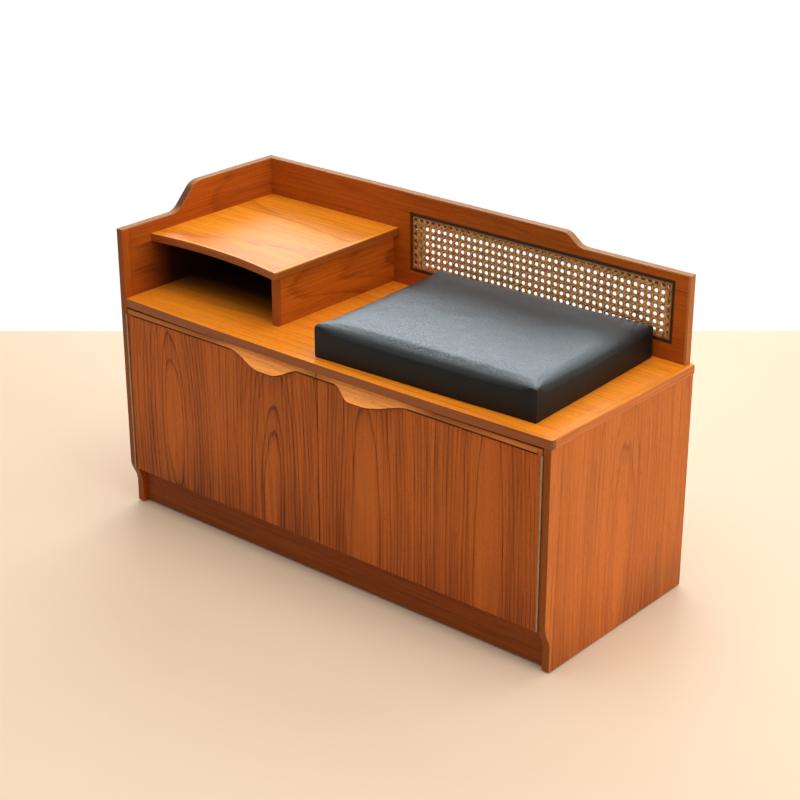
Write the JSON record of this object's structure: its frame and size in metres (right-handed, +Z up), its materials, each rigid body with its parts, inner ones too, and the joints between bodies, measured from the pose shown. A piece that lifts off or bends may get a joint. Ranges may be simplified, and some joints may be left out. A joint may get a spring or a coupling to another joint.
{
  "type": "telephone seat",
  "caption": "Low teak telephone seat with inset doors, a raised telephone shelf, a caned backboard and a loose black cushion.",
  "frame": {"origin": "on the floor, below the centre of the bounding box", "axes": "+X to the right along the length, +Y from the doors to the backboard, +Z up"},
  "size_m": [1.072, 0.466, 0.659],
  "materials": {
    "teak_veneer": "satin oiled teak veneer",
    "door_veneer": "satin oiled teak veneer, darker figure",
    "teak_dark": "satin solid teak, dark",
    "teak_light": "satin solid teak, light",
    "cane": "natural cane, satin",
    "beech": "plain, unfinished",
    "plywood": "plain plywood",
    "black_vinyl": "black vinyl leathercloth over foam",
    "steel": "plated",
    "brass": "dull brass",
    "brown_plastic": "moulded"
  },
  "bodies": {
    "cabinet": {"left_side_panel": "teak_veneer", "left_panel_front_lipping": "teak_dark", "left_panel_top_edging": "teak_light", "right_side_panel": "teak_veneer", "right_panel_front_lipping": "teak_dark", "deck_board": "teak_veneer", "deck_front_lipping": "teak_dark", "deck_side_lipping": "teak_light", "deck_dowels": "beech", "bottom_board": "teak_veneer", "bottom_board_dowels": "beech", "plinth_front": "teak_dark", "plinth_rear": "beech", "plinth_dowels": "beech", "plinth_glue_blocks": "beech", "back_panel": "plywood", "back_panel_pins": "steel", "backboard": "teak_veneer", "backboard_top_edging": "teak_light", "backboard_end_lipping": "teak_light", "backboard_dowels": "beech", "cane_frame_stiles": "teak_dark", "cane_frame_rails": "teak_dark", "cane_webbing": "cane", "cane_spline": "cane", "phone_shelf_board": "teak_veneer", "phone_shelf_front_lipping": "teak_light", "phone_shelf_side_lipping": "teak_light", "phone_shelf_support": "teak_veneer", "phone_shelf_support_lipping": "teak_light", "phone_shelf_dowels": "beech", "floor_glides": "steel", "door_catches": "brown_plastic", "catch_screws": "steel", "left_hinge_frame_leaf": "brass", "left_hinge_frame_screws": "brass", "right_hinge_frame_leaf": "brass", "right_hinge_frame_screws": "brass"},
    "left_door": {"left_door_panel": "door_veneer", "left_door_lip": "teak_light", "left_hinge_door_leaf": "brass", "left_hinge_door_screws": "brass", "left_hinge_pin": "steel", "left_catch_plate": "steel", "left_catch_plate_screw": "brass"},
    "right_door": {"right_door_panel": "door_veneer", "right_door_lip": "teak_light", "right_hinge_door_leaf": "brass", "right_hinge_door_screws": "brass", "right_hinge_pin": "steel", "right_catch_plate": "steel", "right_catch_plate_screw": "brass"},
    "cushion": {"cushion_pad": "black_vinyl", "cushion_board": "plywood"}
  },
  "joints": [
    {"name": "left_door_hinge", "type": "hinge", "parent": "cabinet", "child": "left_door", "pos_m": [-0.5187, -0.211, 0.26], "axis": [0, 0, -1], "range_deg": [0, 165]},
    {"name": "right_door_hinge", "type": "hinge", "parent": "cabinet", "child": "right_door", "pos_m": [0.5167, -0.211, 0.26], "axis": [0, 0, 1], "range_deg": [0, 165]},
    {"name": "cushion_lift", "type": "slide", "parent": "cabinet", "child": "cushion", "axis": [0, 0, 1], "range_m": [0, 0.07]}
  ]
}
